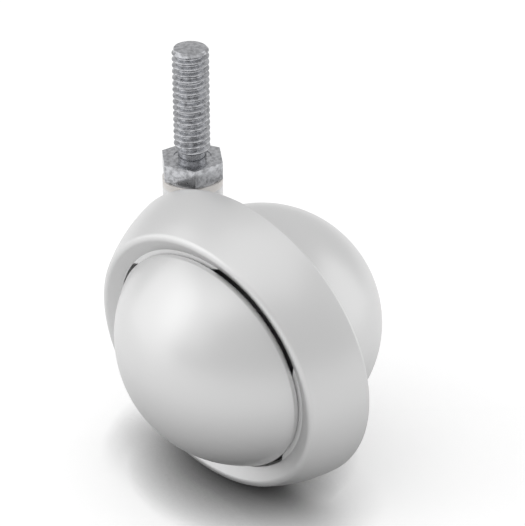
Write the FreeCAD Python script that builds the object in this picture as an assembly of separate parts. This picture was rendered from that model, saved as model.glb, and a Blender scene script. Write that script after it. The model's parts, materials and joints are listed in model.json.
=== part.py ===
import FreeCAD, Part

import math
import os

# Ball castor on a threaded stem. A dished wheel with a domed hub cap runs on an axle that is
# fixed in a ball-shaped hood, and the hood swivels on the pintle below the stem's hexagon.
# Millimetres. The origin is the centre of the hexagon's top face, +Z points up the stem, and
# the hub cap faces -Y. Wheel parts are drawn about the axle: their own Z runs out through the
# hub cap from the centre of the ball.

# Stem, turned from one hexagon bar: stud above, pintle below
stud_d = 7.94
stud_len = 26.0
stud_end_chamfer = 0.5
stud_end_crown = 0.3
relief_d = 6.2
relief_len = 1.7
relief_taper = 0.7
seat_recess_d = 8.4
seat_recess_depth = 0.2
hex_across_flats = 12.7
hex_height = 4.1
hex_turn_deg = 18.5
pintle_d = 7.0
pintle_end = 1.2
pintle_chamfer = 0.6

# Swivel: plain bushes in the hood's boss, kept by a washer and a ring on the pintle
running_clearance = 0.05
press_clearance = 0.02
thrust_washer_d = 12.3
thrust_washer_t = 0.7
swivel_bush_wall = 1.2
swivel_bush_len = 7.0
upper_flange_t = 1.6
lower_flange_t = 1.2
keeper_washer_d = 9.6
keeper_washer_t = 0.8
stem_ring_width = 1.5
stem_ring_t = 0.9
ring_groove_depth = 0.6
ring_mouth = 3.6

# Wheel: one casting with a round tread, a dished front face, a web and a hub
tread_r = 36.0
tread_wall = 3.0
rim_back_t = 5.8
rim_edge_r = 0.5
face_w = 3.7
face_dish = 2.2
front_edge_r = 1.2
land_depth = 3.95
land_first_deg = 110.0
land_count = 3
lip_t = 2.0
web_back_t = 10.5
web_t = 2.4
web_to_land = 4.3
web_fillet_r = 1.2
hub_d = 17.0
hub_back_len = 6.5
hub_front_len = 2.1

# Hood: a ball with a skirt that reaches into the wheel, and the boss for the stem beside it
skirt_gap = 6.5
skirt_end_gap = 2.0
skirt_edge_r = 0.5
hood_wall = 2.4
boss_wall = 1.35
boss_proud = 0.7
boss_foot = 2.8
boss_blend_r = 1.5
recess_gap = 0.5
recess_depth = 7.0
axle_boss_d = 15.0
rib_count = 3
rib_t = 2.2
rib_first_deg = 0.0
rib_setback = 2.5

# Gap between the round of the tread and the hexagon, over the stem, and how far the cap looks down
hexagon_gap = 0.45
axle_tilt_deg = 4.8

# Hub cap: a drawn dome on the three lands, held by three hooked legs
cap_gap = 1.0
cap_rise = 15.6
cap_sheet = 1.3
cap_edge_r = 0.4
cap_leg_t = 1.1
cap_leg_arc_deg = 26.0
cap_leg_clearance = 0.25
cap_hook_reach = 1.0
cap_hook_t = 1.3
cap_hook_gap = 0.1

# Axle and what is threaded on it
axle_d = 7.0
axle_seat_len = 14.0
axle_chamfer = 0.5
axle_washer_d = 13.0
axle_washer_t = 1.0
wheel_bush_wall = 1.4
wheel_bush_gap = 1.0
wheel_bush_flange_d = 14.0
wheel_bush_flange_t = 1.2
axle_ring_width = 1.6
axle_ring_t = 1.0
axle_end = 1.4

# The opening and the cap follow the face, and the hood follows the inside of the tread
web_front_t = web_back_t + web_t
land_t = web_front_t + web_to_land
face_edge_t = land_t + face_dish
opening_r = math.sqrt(tread_r ** 2 - face_edge_t ** 2) - face_w
land_r = opening_r - land_depth
cap_rim_r = opening_r - cap_gap
hood_r = tread_r - tread_wall - skirt_gap
skirt_len = web_back_t - skirt_end_gap

# The stem stands beside the ball, and the tread passes below the hexagon
recess_r = keeper_washer_d / 2 + recess_gap
boss_r = recess_r + boss_wall
trail = hood_r + boss_proud - boss_r
stem_drop = hex_height + hexagon_gap + math.sqrt(tread_r ** 2 - trail ** 2)

# Levels down the stem, from the hexagon's top face
hex_bottom_z = -hex_height
thrust_bottom_z = hex_bottom_z - thrust_washer_t
boss_top_z = thrust_bottom_z - upper_flange_t
boss_bottom_z = boss_foot - stem_drop
boss_len = boss_top_z - boss_bottom_z
recess_top_z = boss_bottom_z + recess_depth
lower_flange_z = recess_top_z - lower_flange_t
keeper_bottom_z = lower_flange_z - keeper_washer_t
stem_ring_z = keeper_bottom_z - stem_ring_t
pintle_bottom_z = stem_ring_z - pintle_end

# Levels out along the axle, from the centre of the ball
hub_back_t = web_back_t - hub_back_len
hub_front_t = web_front_t + hub_front_len
inner_flange_t = hub_back_t - wheel_bush_flange_t
boss_face_t = inner_flange_t - axle_washer_t
outer_flange_t = hub_front_t + wheel_bush_flange_t
outer_washer_t = outer_flange_t + axle_washer_t
axle_ring_front_t = outer_washer_t + axle_ring_t
axle_front_t = axle_ring_front_t + axle_end
wheel_bush_len = (hub_front_t - hub_back_t - wheel_bush_gap) / 2

# Radii that follow from the fits
swivel_bore_r = pintle_d / 2 + running_clearance
swivel_bush_r = swivel_bore_r + swivel_bush_wall
wheel_bore_r = axle_d / 2 + running_clearance
wheel_bush_r = wheel_bore_r + wheel_bush_wall

BALL_CENTRE = FreeCAD.Vector(trail, 0, -stem_drop)
AXLE_PLACE = FreeCAD.Placement(BALL_CENTRE, FreeCAD.Rotation(FreeCAD.Vector(1, 0, 0), 90 + axle_tilt_deg))
UP = FreeCAD.Vector(0, 0, 1)


def point(radius, level):
    return FreeCAD.Vector(radius, 0, level)


def on_sphere(sphere_r, level):
    """Radius at which a sphere about the ball's centre passes a level on the axle."""
    return math.sqrt(sphere_r ** 2 - level ** 2)


def sphere_arc(sphere_r, centre_level, start, end):
    """Meridian arc of a sphere centred on the axis, between two of its points."""
    first = math.atan2(start.z - centre_level, start.x)
    last = math.atan2(end.z - centre_level, end.x)
    middle = (first + last) / 2
    through = point(sphere_r * math.cos(middle), centre_level + sphere_r * math.sin(middle))
    return Part.Arc(start, through, end).toShape()


def outline(*stops):
    """Closed half section: points and ready edges in order, joined by lines where they are apart."""
    edges = []
    first = None
    last = None
    for stop in stops:
        ready = isinstance(stop, Part.Shape)
        start = stop.Vertexes[0].Point if ready else stop
        if first is None:
            first = start
        elif not start.isEqual(last, 1e-7):
            edges.append(Part.makeLine(last, start))
        if ready:
            edges.append(stop)
        last = stop.Vertexes[-1].Point if ready else stop
    if not last.isEqual(first, 1e-7):
        edges.append(Part.makeLine(last, first))
    return Part.Face(Part.Wire(edges))


def turned(face, degrees=360):
    solid = face.revolve(FreeCAD.Vector(), UP, degrees)
    if solid.Volume < 0:
        solid.reverse()
    return solid


def tube(outer_r, inner_r, low, high):
    outer = Part.makeCylinder(outer_r, high - low, point(0, low))
    return outer.cut(Part.makeCylinder(inner_r, high - low, point(0, low)))


def open_ring(outer_r, inner_r, low, high, mouth):
    """Retaining ring with a mouth, as it sits in its groove."""
    gap = Part.makeBox(outer_r * 2, mouth, high - low, FreeCAD.Vector(0, -mouth / 2, low))
    return tube(outer_r, inner_r, low, high).cut(gap)


def flanged_bush(bush_r, bore_r, flange_r, flange, seat, end):
    """Bush whose sleeve runs from seat to end, with its flange on the other side of the seat."""
    way = math.copysign(1, end - seat)
    head = seat - way * flange
    sleeve = tube(bush_r, bore_r, min(seat, end), max(seat, end))
    return sleeve.fuse(tube(flange_r, bore_r, min(head, seat), max(head, seat))).removeSplitter()


def edges_where(shape, test):
    """Edges of which every sampled point passes the test."""
    real = [edge for edge in shape.Edges if not edge.Degenerated]
    return [edge for edge in real if all(test(sample) for sample in edge.discretize(5))]


def at_rim(radius, level):
    """Test for the circular edge of a given radius at a given level."""
    def test(sample):
        return abs(math.hypot(sample.x, sample.y) - radius) < 1e-4 and abs(sample.z - level) < 1e-4
    return test


def on_axle(shape):
    placed = shape.copy()
    placed.Placement = AXLE_PLACE.multiply(placed.Placement)
    return placed


# Stem body

def threaded_stem():
    stud_r = stud_d / 2
    relief_r = relief_d / 2
    crown_r = stud_r - stud_end_chamfer
    ball_r = (crown_r ** 2 + stud_end_crown ** 2) / (2 * stud_end_crown)
    top = point(0, stud_len)
    shoulder = point(crown_r, stud_len - stud_end_crown)
    stud = turned(outline(
        point(0, hex_bottom_z / 2),
        point(relief_r, hex_bottom_z / 2),
        point(relief_r, relief_len),
        point(stud_r, relief_len + relief_taper),
        point(stud_r, stud_len - stud_end_crown - stud_end_chamfer),
        sphere_arc(ball_r, stud_len - ball_r, shoulder, top),
    ))
    pintle_r = pintle_d / 2
    groove_r = pintle_r - ring_groove_depth
    pintle = turned(outline(
        point(0, hex_bottom_z / 2),
        point(pintle_r, hex_bottom_z / 2),
        point(pintle_r, keeper_bottom_z),
        point(groove_r, keeper_bottom_z),
        point(groove_r, stem_ring_z),
        point(pintle_r, stem_ring_z),
        point(pintle_r, pintle_bottom_z + pintle_chamfer),
        point(pintle_r - pintle_chamfer, pintle_bottom_z),
        point(0, pintle_bottom_z),
    ))
    corner_r = hex_across_flats / 2 / math.cos(math.pi / 6)
    corners = []
    for step in range(7):
        angle = math.radians(hex_turn_deg + 60 * step)
        corners.append(FreeCAD.Vector(corner_r * math.cos(angle), corner_r * math.sin(angle), hex_bottom_z))
    nut = Part.Face(Part.makePolygon(corners)).extrude(point(0, hex_height))
    nut = nut.cut(Part.makeCylinder(seat_recess_d / 2, seat_recess_depth, point(0, -seat_recess_depth)))
    return nut.fuse([stud, pintle]).removeSplitter()


def swivel_thrust_washer():
    return tube(thrust_washer_d / 2, swivel_bore_r, thrust_bottom_z, hex_bottom_z)


def stem_keeper_washer():
    return tube(keeper_washer_d / 2, swivel_bore_r, keeper_bottom_z, lower_flange_z)


def stem_retaining_ring():
    inner = pintle_d / 2 - ring_groove_depth
    return open_ring(inner + stem_ring_width, inner, stem_ring_z, keeper_bottom_z, ring_mouth)


# Hood body

def swivel_bush_upper():
    return flanged_bush(swivel_bush_r, swivel_bore_r, boss_r, upper_flange_t,
                        boss_top_z, boss_top_z - swivel_bush_len)


def swivel_bush_lower():
    return flanged_bush(swivel_bush_r, swivel_bore_r, keeper_washer_d / 2, lower_flange_t,
                        recess_top_z, recess_top_z + swivel_bush_len)


def hood_shell():
    """The ball's back half and its skirt, as a thin bowl open towards the wheel."""
    inner_r = hood_r - hood_wall
    bowl = turned(outline(
        sphere_arc(hood_r, 0, point(0, -hood_r), point(hood_r, 0)),
        point(hood_r, skirt_len),
        point(inner_r, skirt_len),
        sphere_arc(inner_r, 0, point(inner_r, 0), point(0, -inner_r)),
    ))
    edge = edges_where(bowl, at_rim(hood_r, skirt_len))
    return bowl.makeFillet(skirt_edge_r, edge)


def hood_inside():
    """Axle boss and the ribs that carry it, trimmed to the inside of the bowl."""
    inside = Part.makeCylinder(axle_boss_d / 2, hood_r + boss_face_t, point(0, -hood_r))
    reach = hood_r - rib_setback
    for step in range(rib_count):
        rib = Part.makeBox(reach, rib_t, hood_r, FreeCAD.Vector(0, -rib_t / 2, -hood_r - rib_setback))
        rib.rotate(FreeCAD.Vector(), UP, rib_first_deg + step * 360 / rib_count)
        inside = inside.fuse(rib)
    ball = Part.makeSphere(hood_r - hood_wall / 2)
    front = Part.makeCylinder(hood_r, hood_r, FreeCAD.Vector())
    return inside.common(ball.fuse(front))


def hood():
    shell = on_axle(hood_shell())
    boss = Part.makeCylinder(boss_r, boss_len, point(0, boss_bottom_z))
    outside = shell.fuse(boss).removeSplitter()
    axle_way = AXLE_PLACE.Rotation.multVec(UP)

    def on_joint(sample):
        offset = sample.sub(BALL_CENTRE)
        level = offset.dot(axle_way)
        radius = offset.sub(FreeCAD.Vector(axle_way).multiply(level)).Length
        on_bowl = abs((offset.Length if level < 0 else radius) - hood_r) < 1e-3
        return on_bowl and abs(math.hypot(sample.x, sample.y) - boss_r) < 1e-3

    joint = edges_where(outside, on_joint)
    outside = outside.makeFillet(boss_blend_r, joint)
    whole = outside.fuse(on_axle(hood_inside()))
    whole = whole.cut(Part.makeCylinder(swivel_bush_r + press_clearance, boss_len, point(0, boss_bottom_z)))
    whole = whole.cut(Part.makeCylinder(recess_r, recess_depth, point(0, boss_bottom_z)))
    seat = Part.makeCylinder(axle_d / 2 + press_clearance, axle_seat_len, point(0, boss_face_t - axle_seat_len))
    return whole.cut(on_axle(seat)).removeSplitter()


def axle():
    radius = axle_d / 2
    groove_r = radius - ring_groove_depth
    back_t = boss_face_t - axle_seat_len
    return turned(outline(
        point(0, back_t),
        point(radius - axle_chamfer, back_t),
        point(radius, back_t + axle_chamfer),
        point(radius, outer_washer_t),
        point(groove_r, outer_washer_t),
        point(groove_r, axle_ring_front_t),
        point(radius, axle_ring_front_t),
        point(radius, axle_front_t - axle_chamfer),
        point(radius - axle_chamfer, axle_front_t),
        point(0, axle_front_t),
    ))


def axle_inner_washer():
    return tube(axle_washer_d / 2, wheel_bore_r, boss_face_t, inner_flange_t)


def axle_outer_washer():
    return tube(axle_washer_d / 2, wheel_bore_r, outer_flange_t, outer_washer_t)


def axle_retaining_ring():
    inner = axle_d / 2 - ring_groove_depth
    return open_ring(inner + axle_ring_width, inner, outer_washer_t, axle_ring_front_t, ring_mouth)


# Wheel body

def lands():
    """Opening of the wheel's face: a circle with a flat land at each leg of the hub cap."""
    depth = tread_r
    opening = Part.makeCylinder(opening_r, depth, FreeCAD.Vector())
    for step in range(land_count):
        land = Part.makeBox(opening_r, 2 * opening_r, depth, FreeCAD.Vector(land_r, -opening_r, 0))
        land.rotate(FreeCAD.Vector(), UP, land_first_deg + step * 360 / land_count)
        opening = opening.cut(land)
    return opening


def wheel_rim():
    """Tread, rounded front edge and dished face, with the three lands standing in the opening."""
    inner_r = tread_r - tread_wall
    lip_back_t = land_t - lip_t
    back_outer = point(on_sphere(tread_r, rim_back_t), rim_back_t)
    corner = point(on_sphere(tread_r, face_edge_t), face_edge_t)
    inner_front = point(on_sphere(inner_r, lip_back_t), lip_back_t)
    inner_back = point(on_sphere(inner_r, rim_back_t), rim_back_t)
    rim = turned(outline(
        sphere_arc(tread_r, 0, back_outer, corner),
        point(opening_r, land_t),
        point(land_r - lip_t, land_t),
        point(land_r - lip_t, lip_back_t),
        sphere_arc(inner_r, 0, inner_front, inner_back),
    ))
    rim = rim.makeFillet(front_edge_r, edges_where(rim, at_rim(corner.x, corner.z)))
    rim = rim.makeFillet(rim_edge_r, edges_where(rim, at_rim(back_outer.x, back_outer.z)))
    return rim.cut(lands())


def wheel_web():
    """Web and hub, reaching into the middle of the tread's wall."""
    hub_r = hub_d / 2
    bore_r = wheel_bush_r + press_clearance
    reach_r = tread_r - tread_wall / 2
    back = point(on_sphere(reach_r, web_back_t), web_back_t)
    front = point(on_sphere(reach_r, web_front_t), web_front_t)
    web = turned(outline(
        point(bore_r, hub_back_t),
        point(hub_r, hub_back_t),
        point(hub_r, web_back_t),
        back,
        front,
        point(hub_r, web_front_t),
        point(hub_r, hub_front_t),
        point(bore_r, hub_front_t),
    ))
    roots = edges_where(web, at_rim(hub_r, web_back_t)) + edges_where(web, at_rim(hub_r, web_front_t))
    return web.makeFillet(web_fillet_r, roots)


def wheel():
    return wheel_rim().fuse(wheel_web()).removeSplitter()


def wheel_bush_inner():
    return flanged_bush(wheel_bush_r, wheel_bore_r, wheel_bush_flange_d / 2, wheel_bush_flange_t,
                        hub_back_t, hub_back_t + wheel_bush_len)


def wheel_bush_outer():
    return flanged_bush(wheel_bush_r, wheel_bore_r, wheel_bush_flange_d / 2, wheel_bush_flange_t,
                        hub_front_t, hub_front_t - wheel_bush_len)


def hub_cap():
    flange_top = land_t + cap_sheet
    crown_r = (cap_rim_r ** 2 + cap_rise ** 2) / (2 * cap_rise)
    crown_level = flange_top + cap_rise - crown_r
    inner_crown_r = crown_r - cap_sheet
    leg_outer_r = land_r - cap_leg_clearance
    leg_inner_r = leg_outer_r - cap_leg_t
    outer_top = point(0, crown_level + crown_r)
    outer_rim = point(cap_rim_r, flange_top)
    inner_rim = point(math.sqrt(inner_crown_r ** 2 - (flange_top - crown_level) ** 2), flange_top)
    inner_top = point(0, crown_level + inner_crown_r)
    dome = turned(outline(
        sphere_arc(crown_r, crown_level, outer_top, outer_rim),
        point(cap_rim_r, land_t),
        point(leg_inner_r, land_t),
        point(leg_inner_r, flange_top),
        sphere_arc(inner_crown_r, crown_level, inner_rim, inner_top),
    ))
    rim_edges = edges_where(dome, at_rim(cap_rim_r, flange_top)) + edges_where(dome, at_rim(cap_rim_r, land_t))
    dome = dome.makeFillet(cap_edge_r, rim_edges)
    hook_top = land_t - lip_t - cap_hook_gap
    leg = outline(
        point(leg_inner_r, flange_top),
        point(leg_outer_r, flange_top),
        point(leg_outer_r, hook_top),
        point(land_r + cap_hook_reach, hook_top),
        point(leg_outer_r, hook_top - cap_hook_t),
        point(leg_inner_r, hook_top - cap_hook_t),
    )
    for step in range(land_count):
        arm = turned(leg, cap_leg_arc_deg)
        arm.rotate(FreeCAD.Vector(), UP, land_first_deg + step * 360 / land_count - cap_leg_arc_deg / 2)
        dome = dome.fuse(arm)
    return dome.removeSplitter()


def main():
    os.makedirs("parts", exist_ok=True)
    upright = {
        "threaded_stem": threaded_stem,
        "swivel_thrust_washer": swivel_thrust_washer,
        "stem_keeper_washer": stem_keeper_washer,
        "stem_retaining_ring": stem_retaining_ring,
        "swivel_bush_upper": swivel_bush_upper,
        "swivel_bush_lower": swivel_bush_lower,
        "hood": hood,
    }
    about_axle = {
        "axle": axle,
        "axle_inner_washer": axle_inner_washer,
        "axle_outer_washer": axle_outer_washer,
        "axle_retaining_ring": axle_retaining_ring,
        "wheel": wheel,
        "wheel_bush_inner": wheel_bush_inner,
        "wheel_bush_outer": wheel_bush_outer,
        "hub_cap": hub_cap,
    }
    pieces = {name: make() for name, make in upright.items()}
    pieces.update({name: on_axle(make()) for name, make in about_axle.items()})
    for name, shape in pieces.items():
        print(name, len(shape.Solids), shape.isValid(), round(shape.Volume, 1))
        shape.exportStep("parts/" + name + ".step")


main()
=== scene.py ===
"""Ball castor with a threaded stem: its finish and its surroundings, around the solid model."""

import json
import math

import bmesh
import bpy
from mathutils import Matrix, Vector


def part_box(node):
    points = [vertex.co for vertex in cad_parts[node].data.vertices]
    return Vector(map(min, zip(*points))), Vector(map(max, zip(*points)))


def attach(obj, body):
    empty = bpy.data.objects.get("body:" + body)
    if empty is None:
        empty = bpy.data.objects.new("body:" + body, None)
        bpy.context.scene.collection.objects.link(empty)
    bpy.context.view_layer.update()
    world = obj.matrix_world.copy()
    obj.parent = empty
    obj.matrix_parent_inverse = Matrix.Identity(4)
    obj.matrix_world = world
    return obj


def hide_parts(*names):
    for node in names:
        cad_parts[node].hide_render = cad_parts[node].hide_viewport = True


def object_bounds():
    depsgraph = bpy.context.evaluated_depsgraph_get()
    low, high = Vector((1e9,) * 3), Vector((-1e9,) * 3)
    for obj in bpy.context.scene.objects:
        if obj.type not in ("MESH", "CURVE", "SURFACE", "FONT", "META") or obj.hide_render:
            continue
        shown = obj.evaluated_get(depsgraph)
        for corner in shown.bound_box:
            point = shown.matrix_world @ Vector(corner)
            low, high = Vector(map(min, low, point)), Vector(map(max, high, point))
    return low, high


bl_info = {
    "name": "Ball Castor",
    "version": (1, 0, 0),
    "blender": (4, 5, 0),
    "location": "3D View > Sidebar > Castor",
    "description": "Dresses a ball castor on a threaded stem and sets it in a plain studio",
    "category": "Add Mesh",
}

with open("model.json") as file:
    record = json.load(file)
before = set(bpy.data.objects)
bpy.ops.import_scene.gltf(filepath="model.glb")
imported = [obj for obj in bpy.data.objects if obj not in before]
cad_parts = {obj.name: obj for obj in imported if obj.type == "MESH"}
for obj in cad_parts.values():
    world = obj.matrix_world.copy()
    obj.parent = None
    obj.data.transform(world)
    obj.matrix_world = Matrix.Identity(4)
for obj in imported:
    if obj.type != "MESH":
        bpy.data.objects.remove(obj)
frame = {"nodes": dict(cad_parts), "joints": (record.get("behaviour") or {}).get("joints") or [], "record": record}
CAD_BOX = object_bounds()

MM = 0.001
SHARP_ANGLE = math.radians(32)
ROUND_STEPS = 64
TURN_STEPS = 56
NECK_CUTS = 4
END_CUTS = 8
CROWN_RINGS = 6
STEM_MOUNT = next(mount for mount in frame["record"]["mounts"] if mount["name"] == "stem")
STUD_R = STEM_MOUNT["dims"]["r_mm"] * MM
STUD_START = STEM_MOUNT["pos_m"][2] - STEM_MOUNT["dims"]["length_mm"] * MM / 2
ROLL = next(joint for joint in frame["joints"] if joint["name"] == "roll")
BALL_CENTRE = Vector(ROLL["pos_m"])
AXLE_WAY = Vector(ROLL["axis"]).normalized()
POLE_R = 1.35 * MM

# Each lamp: bearing from the camera (positive to its right) and height above the horizon in degrees,
# distance and size in metres, power in watts
LAMPS = (
    ("softbox_left", -90, 20, 0.55, 0.6, 0.74),
    ("softbox_front_left", -60, 35, 0.55, 0.5, 0.3),
    ("softbox_right", 98, 18, 0.55, 0.5, 0.42),
    ("softbox_top", 0, 75, 0.6, 0.6, 0.42),
)


# Sizes and colours a user would change


class CastorStem(bpy.types.PropertyGroup):
    pitch: bpy.props.FloatProperty(
        name="Thread pitch", description="Advance of the stud's thread in one turn",
        default=25.4 / 18 * MM, unit="LENGTH")
    thread_depth: bpy.props.FloatProperty(
        name="Thread depth", description="From the thread's crest to its root",
        default=0.78 * MM, unit="LENGTH")
    thread_round: bpy.props.FloatProperty(
        name="Thread rounding", description="Rounding of the thread's crests and roots",
        default=0.13 * MM, unit="LENGTH")
    end_chamfer: bpy.props.FloatProperty(
        name="End chamfer", description="Chamfer round the top of the stud",
        default=0.5 * MM, unit="LENGTH")
    end_crown: bpy.props.FloatProperty(
        name="End crown", description="Height of the stud's slightly domed end",
        default=0.3 * MM, unit="LENGTH")
    neck_r: bpy.props.FloatProperty(
        name="Neck radius", description="Plain neck between the hexagon and the first turn",
        default=3.1 * MM, unit="LENGTH")
    run_out: bpy.props.FloatProperty(
        name="Run-out", description="Length over which the thread fades into the neck",
        default=0.7 * MM, unit="LENGTH")
    recess_r: bpy.props.FloatProperty(
        name="Recess radius", description="Shallow recess round the neck in the hexagon's top face",
        default=4.2 * MM, unit="LENGTH")
    recess_depth: bpy.props.FloatProperty(
        name="Recess depth", description="Depth of that recess",
        default=0.2 * MM, unit="LENGTH")
    hex_across_flats: bpy.props.FloatProperty(
        name="Across flats", description="Hexagon's width across its flats",
        default=12.7 * MM, unit="LENGTH")
    hex_turn: bpy.props.FloatProperty(
        name="Hexagon turn", description="Turn of the hexagon's first corner from +X",
        default=math.radians(18.5), subtype="ANGLE")
    hex_edge: bpy.props.FloatProperty(
        name="Hexagon edge", description="Worn rounding of the hexagon's edges",
        default=0.12 * MM, unit="LENGTH")
    pintle_r: bpy.props.FloatProperty(
        name="Pintle radius", description="Pintle below the hexagon",
        default=3.5 * MM, unit="LENGTH")
    groove_depth: bpy.props.FloatProperty(
        name="Ring groove", description="Depth of the retaining ring's groove in the pintle",
        default=0.6 * MM, unit="LENGTH")


class CastorFinish(bpy.types.PropertyGroup):
    silver: bpy.props.StringProperty(
        name="Silver colour", description="Lacquer on the castings and the hub cap, as sRGB hex",
        default="#DCDCDC")
    zinc: bpy.props.StringProperty(
        name="Zinc colour", description="Clear zinc plating on the stem, as sRGB hex",
        default="#B4B5B8")
    steel: bpy.props.StringProperty(
        name="Steel colour", description="Plain steel of the axle, washers and rings, as sRGB hex",
        default="#8A8B8D")
    nylon: bpy.props.StringProperty(
        name="Nylon colour", description="Moulded nylon of the bushes, as sRGB hex",
        default="#EEEAE6")
    floor: bpy.props.StringProperty(
        name="Floor colour", description="Plain studio floor, as sRGB hex",
        default="#FCFCFC")
    bounce: bpy.props.StringProperty(
        name="Floor bounce", description="Colour the floor lights the object with, as sRGB hex",
        default="#484848")
    glow: bpy.props.FloatProperty(
        name="Floor glow", description="Part of the floor's white that no lamp gives it", default=0.18)
    # Painted shadow on the floor: its colour is darkened towards black near the object, and farther out in what
    # the metal mirrors
    painted_shadow_reach: bpy.props.FloatProperty(
        name="Shadow reach", description="How far from the floor the object still deepens its shadow",
        default=16 * MM, unit="LENGTH")
    mirrored_painted_shadow_reach: bpy.props.FloatProperty(
        name="Mirrored reach", description="The same, where the metal mirrors the floor",
        default=60 * MM, unit="LENGTH")
    painted_shadow_depth: bpy.props.FloatProperty(
        name="Shadow depth", description="How much deeper the shadow is under the object", default=1.5)


class CastorStudio(bpy.types.PropertyGroup):
    camera_place: bpy.props.FloatVectorProperty(
        name="Camera place", description="Where the camera stands, from the origin of the part",
        default=(0.2379965, -0.2427522, 0.1774321), size=3, unit="LENGTH")
    camera_azimuth: bpy.props.FloatProperty(
        name="Camera azimuth", description="Heading of the camera's view, from +Y towards -X",
        default=math.radians(41.8426), subtype="ANGLE")
    camera_pitch: bpy.props.FloatProperty(
        name="Camera pitch", description="How far the camera looks down",
        default=math.radians(31.0527), subtype="ANGLE")
    camera_roll: bpy.props.FloatProperty(
        name="Camera roll", description="Turn of the camera about its view",
        default=math.radians(0.2274), subtype="ANGLE")
    lens: bpy.props.FloatProperty(
        name="Lens", description="Focal length in millimetres on a 36 mm wide sensor", default=120.3)
    floor_reach: bpy.props.FloatProperty(
        name="Floor reach", description="How far the floor runs out on each side",
        default=30.0, unit="LENGTH")
    world_level: bpy.props.FloatProperty(
        name="World level", description="Strength of the plain surround", default=0.72)


# Small tools


def linear(hex_colour):
    """sRGB hex value as a linear RGBA colour."""
    def channel(value):
        return value / 12.92 if value <= 0.04045 else ((value + 0.055) / 1.055) ** 2.4
    digits = hex_colour.lstrip("#")
    return (*(channel(int(digits[i:i + 2], 16) / 255) for i in (0, 2, 4)), 1.0)


def add_node(tree, kind, settings=None, feeds=(), **inputs):
    """Adds a node with its settings. Feeds go to its first sockets in order, inputs by name.

    Each is a value, or another node's output socket.
    """
    node = tree.nodes.new(kind)
    for name, value in (settings or {}).items():
        setattr(node, name, value)
    sockets = list(zip(node.inputs, feeds))
    sockets += [(node.inputs[name.replace("_", " ")], value) for name, value in inputs.items()]
    for socket, value in sockets:
        if isinstance(value, bpy.types.NodeSocket):
            tree.links.new(value, socket)
        else:
            socket.default_value = value
    return node


def new_material(name):
    """Empty node material, with its tree and its surface socket."""
    material = bpy.data.materials.new(name)
    material.use_nodes = True
    tree = material.node_tree
    tree.nodes.clear()
    output = tree.nodes.new("ShaderNodeOutputMaterial")
    return material, tree, output.inputs["Surface"]


def only(geom, kind):
    """The verts or the edges out of what a bmesh operator made."""
    return [part for part in geom if isinstance(part, kind)]


def from_bmesh(bm, name, material, place=None):
    """Finishes a bmesh as a smooth object whose place is in its mesh."""
    if place is not None:
        bmesh.ops.transform(bm, matrix=place, verts=bm.verts)
    # Extruding leaves the order of verts and faces to chance, so it is set here
    verts = sorted(bm.verts, key=lambda vert: vert.co[:])
    for index, vert in enumerate(verts):
        vert.index = index
    faces = sorted([vert.index for vert in face.verts] for face in bm.faces)
    mesh = bpy.data.meshes.new(name)
    mesh.from_pydata([vert.co[:] for vert in verts], [], faces)
    bm.free()
    mesh.materials.append(material)
    mesh.shade_smooth()
    mesh.set_sharp_from_angle(angle=SHARP_ANGLE)
    piece = bpy.data.objects.new(name, mesh)
    bpy.context.scene.collection.objects.link(piece)
    return piece


# Finishes


def even_normal(tree, place):
    """Shading normal that stays even at the castings' poles, on the axle's line.

    The smoothed normal leans there, so within a small radius the faces' own normal takes over.
    """
    geometry = add_node(tree, "ShaderNodeNewGeometry")
    offset = add_node(tree, "ShaderNodeVectorMath", {"operation": "SUBTRACT"}, (place, BALL_CENTRE))
    across = add_node(tree, "ShaderNodeVectorMath", {"operation": "CROSS_PRODUCT"},
                      (offset.outputs[0], AXLE_WAY))
    reach = add_node(tree, "ShaderNodeVectorMath", {"operation": "LENGTH"}, (across.outputs[0],))
    near = add_node(tree, "ShaderNodeMath", {"operation": "LESS_THAN"}, (reach.outputs["Value"], POLE_R))
    change = add_node(tree, "ShaderNodeVectorMath", {"operation": "SUBTRACT"},
                      (geometry.outputs["True Normal"], geometry.outputs["Normal"]))
    mixed = add_node(tree, "ShaderNodeVectorMath", {"operation": "MULTIPLY_ADD"},
                     (change.outputs[0], near.outputs[0], geometry.outputs["Normal"]))
    return mixed.outputs[0]


def silver_lacquer(name, colour):
    """Sprayed silver lacquer with fine metal flake, smooth and satin, under a thin clear coat.

    The flake makes it part metal, and its tone comes from what it mirrors.
    """
    material, tree, surface = new_material(name)
    place = add_node(tree, "ShaderNodeTexCoord").outputs["Object"]
    # The metal below is waved over about 6 mm, and the spray leaves a faint peel 0.8 mm across
    wave = add_node(tree, "ShaderNodeTexNoise", Vector=place, Scale=1 / (6 * MM),
                    Detail=1.0, Roughness=0.4)
    peel = add_node(tree, "ShaderNodeTexNoise", Vector=place, Scale=1 / (0.8 * MM),
                    Detail=1.0, Roughness=0.5)
    flake = add_node(tree, "ShaderNodeMapRange", Value=peel.outputs["Fac"], To_Min=0.34, To_Max=0.4)
    under = add_node(tree, "ShaderNodeBump", Height=wave.outputs["Fac"], Strength=0.06, Distance=0.2 * MM,
                     Normal=even_normal(tree, place))
    skin = add_node(tree, "ShaderNodeBump", Height=peel.outputs["Fac"], Strength=0.04, Distance=0.02 * MM,
                    Normal=under.outputs["Normal"])
    shader = add_node(tree, "ShaderNodeBsdfPrincipled", Base_Color=linear(colour), Metallic=0.6,
                      Roughness=flake.outputs["Result"], Normal=under.outputs["Normal"],
                      Coat_Weight=0.15, Coat_Roughness=0.18, Coat_Normal=skin.outputs["Normal"])
    tree.links.new(shader.outputs["BSDF"], surface)
    return material


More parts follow.
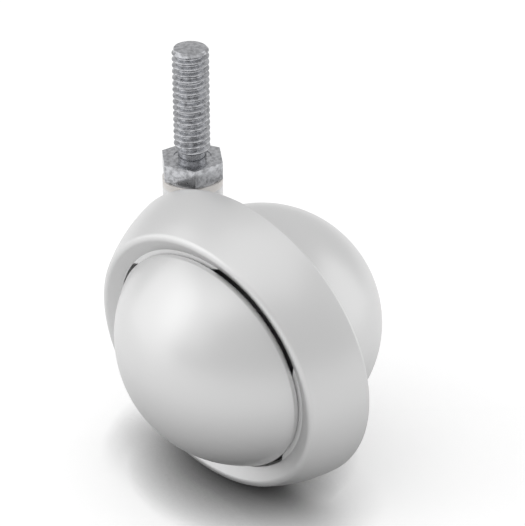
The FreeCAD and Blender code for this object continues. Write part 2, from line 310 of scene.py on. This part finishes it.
def zinc_steel(name, colour):
    """Turned and rolled steel under clear zinc: bright, with fine handling marks and a mottled tone."""
    material, tree, surface = new_material(name)
    place = add_node(tree, "ShaderNodeTexCoord").outputs["Object"]
    # Handling dents and dull spots of the plating, about 1 mm apart: the dull ones are darker and rougher
    mottle = add_node(tree, "ShaderNodeTexNoise", Vector=place, Scale=1 / (1.0 * MM),
                      Detail=3.0, Roughness=0.55)
    spots = add_node(tree, "ShaderNodeMapRange", Value=mottle.outputs["Fac"],
                     From_Min=0.34, From_Max=0.6, To_Min=0.66, To_Max=1.12)
    tone = add_node(tree, "ShaderNodeHueSaturation", Value=spots.outputs["Result"], Color=linear(colour))
    rough = add_node(tree, "ShaderNodeMapRange", Value=mottle.outputs["Fac"],
                     From_Min=0.3, From_Max=0.7, To_Min=0.32, To_Max=0.18)
    bump = add_node(tree, "ShaderNodeBump", Height=mottle.outputs["Fac"],
                    Strength=0.35, Distance=0.06 * MM)
    shader = add_node(tree, "ShaderNodeBsdfPrincipled", Base_Color=tone.outputs["Color"], Metallic=1.0,
                      Roughness=rough.outputs["Result"], Normal=bump.outputs["Normal"])
    tree.links.new(shader.outputs["BSDF"], surface)
    return material


def oiled_steel(name, colour):
    """Plain turned steel with a film of oil: darker, with a fine grain 0.15 mm across."""
    material, tree, surface = new_material(name)
    place = add_node(tree, "ShaderNodeTexCoord").outputs["Object"]
    grain = add_node(tree, "ShaderNodeTexNoise", Vector=place, Scale=1 / (0.15 * MM),
                     Detail=2.0, Roughness=0.5)
    rough = add_node(tree, "ShaderNodeMapRange", Value=grain.outputs["Fac"], To_Min=0.25, To_Max=0.4)
    bump = add_node(tree, "ShaderNodeBump", Height=grain.outputs["Fac"], Strength=0.2, Distance=0.02 * MM)
    shader = add_node(tree, "ShaderNodeBsdfPrincipled", Base_Color=linear(colour), Metallic=1.0,
                      Roughness=rough.outputs["Result"], Normal=bump.outputs["Normal"])
    tree.links.new(shader.outputs["BSDF"], surface)
    return material


def moulded_nylon(name, colour):
    """Natural nylon from a mould: off-white, satin, with a fine even grain."""
    material, tree, surface = new_material(name)
    place = add_node(tree, "ShaderNodeTexCoord").outputs["Object"]
    grain = add_node(tree, "ShaderNodeTexNoise", Vector=place, Scale=1 / (0.3 * MM),
                     Detail=2.0, Roughness=0.5)
    bump = add_node(tree, "ShaderNodeBump", Height=grain.outputs["Fac"], Strength=0.1, Distance=0.02 * MM)
    shader = add_node(tree, "ShaderNodeBsdfPrincipled", Base_Color=linear(colour), Roughness=0.42,
                      IOR=1.53, Normal=bump.outputs["Normal"])
    tree.links.new(shader.outputs["BSDF"], surface)
    return material


def studio_floor(name, finish):
    """Seamless white paper: white to the eye and in reflections, with little light thrown back up, and with a
    painted shadow that darkens its colour towards black near the object.
    """
    material, tree, surface = new_material(name)
    # Painted shadow: the paper's colour is mixed towards black by how closed in it is, deepest where the wheel
    # comes down to the paper and opening out from there. In reflections the painted shadow reaches farther, so the
    # metal mirrors a wider, darker pool than the camera sees
    path = add_node(tree, "ShaderNodeLightPath")
    reach = add_node(tree, "ShaderNodeMapRange", Value=path.outputs["Is Camera Ray"],
                     To_Min=finish.mirrored_painted_shadow_reach, To_Max=finish.painted_shadow_reach)
    near = add_node(tree, "ShaderNodeAmbientOcclusion", {"samples": 16}, Distance=reach.outputs["Result"])
    shade = add_node(tree, "ShaderNodeMath", {"operation": "POWER"},
                     (near.outputs["AO"], finish.painted_shadow_depth))
    # Black that the painted shadow mixes into the paper's colour
    painted_shadow_black = add_node(tree, "ShaderNodeBsdfDiffuse", Color=(0, 0, 0, 1))
    paper = add_node(tree, "ShaderNodeBsdfDiffuse", Color=linear(finish.floor))
    glow = add_node(tree, "ShaderNodeEmission", Color=linear(finish.floor), Strength=finish.glow)
    white = add_node(tree, "ShaderNodeAddShader", None, (paper.outputs["BSDF"], glow.outputs["Emission"]))
    painted_shadow_paper = add_node(tree, "ShaderNodeMixShader", None,
                      (shade.outputs["Value"], painted_shadow_black.outputs["BSDF"], white.outputs["Shader"]))
    dull = add_node(tree, "ShaderNodeBsdfDiffuse", Color=linear(finish.bounce))
    seen = path.outputs["Is Camera Ray"]
    for kind in ("Is Glossy Ray", "Is Transmission Ray"):
        both = add_node(tree, "ShaderNodeMath", {"operation": "MAXIMUM"}, (seen, path.outputs[kind]))
        seen = both.outputs["Value"]
    mixed = add_node(tree, "ShaderNodeMixShader", None,
                     (seen, dull.outputs["BSDF"], painted_shadow_paper.outputs["Shader"]))
    tree.links.new(mixed.outputs["Shader"], surface)
    return material


# Pieces


def dress(names, material):
    """Gives carried-over solids a finish of their own."""
    for name in names:
        mesh = frame["nodes"][name].data
        mesh.materials.clear()
        mesh.materials.append(material)


def chain(bm, stops, level=0.0):
    """Open chain of verts and edges through (radius, height) points above a level."""
    verts = [bm.verts.new((radius, 0, level + height)) for radius, height in stops]
    edges = [bm.edges.new(pair) for pair in zip(verts, verts[1:])]
    return verts, edges


def spun(bm, stops):
    """Turns a chain of (radius, height) points once round the axis."""
    verts, edges = chain(bm, stops)
    bmesh.ops.spin(bm, geom=verts + edges, axis=(0, 0, 1), angle=math.tau, steps=ROUND_STEPS,
                   use_merge=True)


def helix(bm, profile, pitch, turns):
    """Winds a profile of points round the axis, row by row, always in the same order."""
    rows = []
    for step in range(TURN_STEPS * turns + 1):
        turn = Matrix.Rotation(math.tau * step / TURN_STEPS, 3, "Z")
        rise = Vector((0, 0, pitch * step / TURN_STEPS))
        rows.append([bm.verts.new(turn @ point + rise) for point in profile])
    for row, after in zip(rows, rows[1:]):
        for corners in zip(row, after, after[1:], row[1:]):
            bm.faces.new(corners)


def edges_of(verts):
    """Edges at these verts, each once and always in the same order."""
    return list(dict.fromkeys(edge for vert in verts for edge in vert.link_edges))


def close_at(bm, edges, level):
    """Draws a rim straight to a level and closes it there."""
    made = bmesh.ops.extrude_edge_only(bm, edges=edges)["geom"]
    for vert in only(made, bmesh.types.BMVert):
        vert.co.z = level
    bmesh.ops.edgeloop_fill(bm, edges=only(made, bmesh.types.BMEdge))


def threaded_stud(sizes, top, low):
    """Stud with its thread, from the end's crown down to a level inside the hexagon."""
    bm = bmesh.new()
    root_r = STUD_R - sizes.thread_depth
    pitch = sizes.pitch
    flank = sizes.thread_depth * math.tan(math.radians(30))
    crest = pitch / 8
    root = pitch - crest - 2 * flank
    neck_top = STUD_START - sizes.run_out
    shoulder = top - sizes.end_crown
    stops = ((root_r, 0), (root_r, root), (STUD_R, root + flank), (STUD_R, root + flank + crest),
             (root_r, pitch))
    verts, _ = chain(bm, stops, neck_top - pitch)
    # Rolled threads have round crests and roots
    bmesh.ops.bevel(bm, geom=verts[1:4], offset=sizes.thread_round, offset_type="OFFSET",
                    affect="VERTICES", segments=3, profile=0.5, material=-1)
    turns = math.ceil((shoulder - neck_top) / pitch) + 2
    profile = sorted((vert.co.copy() for vert in bm.verts), key=lambda point: point.z)
    bm.clear()
    helix(bm, profile, pitch, turns)
    bmesh.ops.remove_doubles(bm, verts=bm.verts, dist=0.01 * MM)
    # Level cuts, so that both ends of the thread can be drawn in evenly
    fade_length = 2 * sizes.end_chamfer
    cuts = [neck_top + sizes.run_out * step / NECK_CUTS for step in range(NECK_CUTS + 1)]
    cuts += [shoulder - fade_length * step / END_CUTS for step in range(END_CUTS + 1)]
    for level in cuts:
        bmesh.ops.bisect_plane(bm, geom=bm.verts[:] + bm.edges[:] + bm.faces[:], plane_co=(0, 0, level),
                               plane_no=(0, 0, 1), dist=1e-7)
    spare = [face for face in bm.faces if not neck_top < face.calc_center_median().z < shoulder]
    bmesh.ops.delete(bm, geom=spare, context="FACES")
    for vert in bm.verts:
        radius = vert.co.xy.length
        above = max(0.0, vert.co.z - neck_top)
        below = max(0.0, shoulder - vert.co.z)
        limit = min(STUD_R, sizes.neck_r + above * (STUD_R - sizes.neck_r) / sizes.run_out,
                    STUD_R - sizes.end_chamfer + below)
        # At both ends the groove fades out, so the end and the neck are round
        fade = max(1 - above / sizes.run_out, 1 - below / fade_length, 0.0)
        target = min(radius, limit)
        target += (limit - target) * fade
        vert.co.xy *= target / radius
    rims = [edge for edge in bm.edges if edge.is_boundary]
    upper = [edge for edge in rims if edge.verts[0].co.z > top / 2]
    crown_r = STUD_R - sizes.end_chamfer
    for step in range(1, CROWN_RINGS):
        share = 1 - step / CROWN_RINGS
        made = bmesh.ops.extrude_edge_only(bm, edges=upper)["geom"]
        for vert in only(made, bmesh.types.BMVert):
            vert.co.xy *= crown_r * share / vert.co.xy.length
            vert.co.z = top - sizes.end_crown * share ** 2
        upper = only(made, bmesh.types.BMEdge)
    bmesh.ops.edgeloop_fill(bm, edges=upper)
    close_at(bm, [edge for edge in rims if edge.verts[0].co.z < top / 2], low)
    return bm


def hexagon(bm, sizes, bottom):
    """Hexagon with worn edges and the shallow recess round the neck."""
    corner_r = sizes.hex_across_flats / 2 / math.cos(math.radians(30))
    verts = bmesh.ops.create_cone(bm, cap_ends=True, segments=6, radius1=corner_r, radius2=corner_r,
                                  depth=-bottom)["verts"]
    first = math.atan2(verts[0].co.y, verts[0].co.x)
    bmesh.ops.rotate(bm, verts=verts, matrix=Matrix.Rotation(sizes.hex_turn - first, 3, "Z"))
    bmesh.ops.translate(bm, verts=verts, vec=(0, 0, bottom / 2))
    bmesh.ops.bevel(bm, geom=edges_of(verts), offset=sizes.hex_edge, affect="EDGES", segments=2,
                    profile=0.5, material=-1)
    face = max((face for face in bm.faces if len(face.verts) == 6 and face.normal.z > 0.9),
               key=lambda face: face.calc_center_median().z)
    outer = list(face.edges)
    bmesh.ops.delete(bm, geom=[face], context="FACES_ONLY")
    ring = bmesh.ops.create_circle(bm, segments=ROUND_STEPS, radius=sizes.recess_r)["verts"]
    inner = edges_of(ring)
    bmesh.ops.triangle_fill(bm, use_beauty=True, edges=outer + inner)
    close_at(bm, inner, -sizes.recess_depth)


class CASTOR_OT_stem(bpy.types.Operator):
    """Threaded stud, hexagon and pintle, over the plain solid"""
    bl_idname = "castor.stem"
    bl_label = "Stem"

    def execute(self, context):
        sizes = context.scene.castor_stem
        low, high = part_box("threaded_stem")
        hex_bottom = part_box("swivel_thrust_washer")[1].z
        groove_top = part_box("stem_keeper_washer")[0].z
        groove_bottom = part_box("stem_retaining_ring")[0].z
        groove_r = sizes.pintle_r - sizes.groove_depth
        bm = threaded_stud(sizes, high.z, hex_bottom / 2)
        hexagon(bm, sizes, hex_bottom)
        spun(bm, ((0, hex_bottom / 2), (sizes.pintle_r, hex_bottom / 2), (sizes.pintle_r, groove_top),
                  (groove_r, groove_top), (groove_r, groove_bottom), (sizes.pintle_r, groove_bottom),
                  (sizes.pintle_r, low.z + sizes.groove_depth), (groove_r, low.z), (0, low.z)))
        bmesh.ops.remove_doubles(bm, verts=bm.verts, dist=0.002 * MM)
        bmesh.ops.recalc_face_normals(bm, faces=bm.faces)
        zinc = zinc_steel("clear_zinc_on_turned_steel", context.scene.castor_finish.zinc)
        stem = from_bmesh(bm, "stem_turned", zinc)
        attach(stem, "stem")
        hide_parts("threaded_stem")
        dress(["swivel_thrust_washer"], zinc)
        return {"FINISHED"}


class CASTOR_OT_castings(bpy.types.Operator):
    """Lacquered wheel, hood and hub cap"""
    bl_idname = "castor.castings"
    bl_label = "Castings"

    def execute(self, context):
        silver = silver_lacquer("silver_lacquer_on_smooth_casting", context.scene.castor_finish.silver)
        dress(["wheel", "hood", "hub_cap"], silver)
        return {"FINISHED"}


class CASTOR_OT_running_gear(bpy.types.Operator):
    """Axle, washers, rings and bushes"""
    bl_idname = "castor.running_gear"
    bl_label = "Running gear"

    def execute(self, context):
        finish = context.scene.castor_finish
        steel = oiled_steel("oiled_turned_steel", finish.steel)
        dress(["axle", "axle_inner_washer", "axle_outer_washer", "axle_retaining_ring",
               "stem_keeper_washer", "stem_retaining_ring"], steel)
        nylon = moulded_nylon("moulded_natural_nylon", finish.nylon)
        dress(["swivel_bush_upper", "swivel_bush_lower", "wheel_bush_inner", "wheel_bush_outer"], nylon)
        return {"FINISHED"}


class CASTOR_OT_studio(bpy.types.Operator):
    """Floor, lamps, surround and camera"""
    bl_idname = "castor.studio"
    bl_label = "Studio"

    def execute(self, context):
        scene = context.scene
        studio = scene.castor_studio
        bm = bmesh.new()
        bmesh.ops.create_grid(bm, x_segments=1, y_segments=1, size=studio.floor_reach)
        paper = studio_floor("white_paper_with_painted_shadow", scene.castor_finish)
        floor = from_bmesh(bm, "studio_floor", paper, Matrix.Translation((0, 0, CAD_BOX[0].z)))

        world = bpy.data.worlds.new("studio_surround")
        scene.world = world
        world.use_nodes = True
        background = world.node_tree.nodes["Background"]
        background.inputs["Color"].default_value = (1, 1, 1, 1)
        background.inputs["Strength"].default_value = studio.world_level

        for name, bearing, height, distance, size, power in LAMPS:
            lamp = bpy.data.lights.new(name, "AREA")
            lamp.shape = "SQUARE"
            lamp.size = size
            lamp.energy = power
            holder = bpy.data.objects.new(name, lamp)
            heading = studio.camera_azimuth + math.radians(bearing - 90)
            rise = math.radians(height)
            level = math.cos(rise)
            way = Vector((math.cos(heading) * level, math.sin(heading) * level, math.sin(rise)))
            aim = (-way).to_track_quat("-Z", "Y").to_matrix().to_4x4()
            holder.matrix_world = Matrix.Translation(BALL_CENTRE + way * distance) @ aim
            scene.collection.objects.link(holder)

        camera = bpy.data.cameras.new("camera")
        camera.lens = studio.lens
        camera.sensor_width = 36
        camera.clip_start = 0.01
        holder = bpy.data.objects.new("camera", camera)
        turn = (Matrix.Rotation(studio.camera_azimuth, 4, "Z")
                @ Matrix.Rotation(math.radians(90) - studio.camera_pitch, 4, "X")
                @ Matrix.Rotation(studio.camera_roll, 4, "Z"))
        holder.matrix_world = Matrix.Translation(Vector(studio.camera_place)) @ turn
        scene.collection.objects.link(holder)
        scene.camera = holder
        scene.view_settings.view_transform = "Standard"
        return {"FINISHED"}


class CASTOR_PT_panel(bpy.types.Panel):
    """Lists the castor's pieces"""
    bl_idname = "CASTOR_PT_panel"
    bl_label = "Castor"
    bl_space_type = "VIEW_3D"
    bl_region_type = "UI"
    bl_category = "Castor"

    def draw(self, context):
        column = self.layout.column()
        for operator in OPERATORS:
            column.operator(operator.bl_idname)
        for group in GROUPS:
            settings = getattr(context.scene, group)
            for name in settings.bl_rna.properties.keys():
                if name not in ("rna_type", "name"):
                    column.prop(settings, name)


GROUPS = {"castor_stem": CastorStem, "castor_finish": CastorFinish, "castor_studio": CastorStudio}
OPERATORS = (CASTOR_OT_stem, CASTOR_OT_castings, CASTOR_OT_running_gear, CASTOR_OT_studio)


def register():
    for cls in (*GROUPS.values(), *OPERATORS, CASTOR_PT_panel):
        bpy.utils.register_class(cls)
    for name, group in GROUPS.items():
        setattr(bpy.types.Scene, name, bpy.props.PointerProperty(type=group))


def unregister():
    for name in GROUPS:
        delattr(bpy.types.Scene, name)
    for cls in reversed((*GROUPS.values(), *OPERATORS, CASTOR_PT_panel)):
        bpy.utils.unregister_class(cls)


def main():
    register()
    bpy.ops.castor.stem()
    bpy.ops.castor.castings()
    bpy.ops.castor.running_gear()
    bpy.ops.castor.studio()


if __name__ == "__main__":
    main()
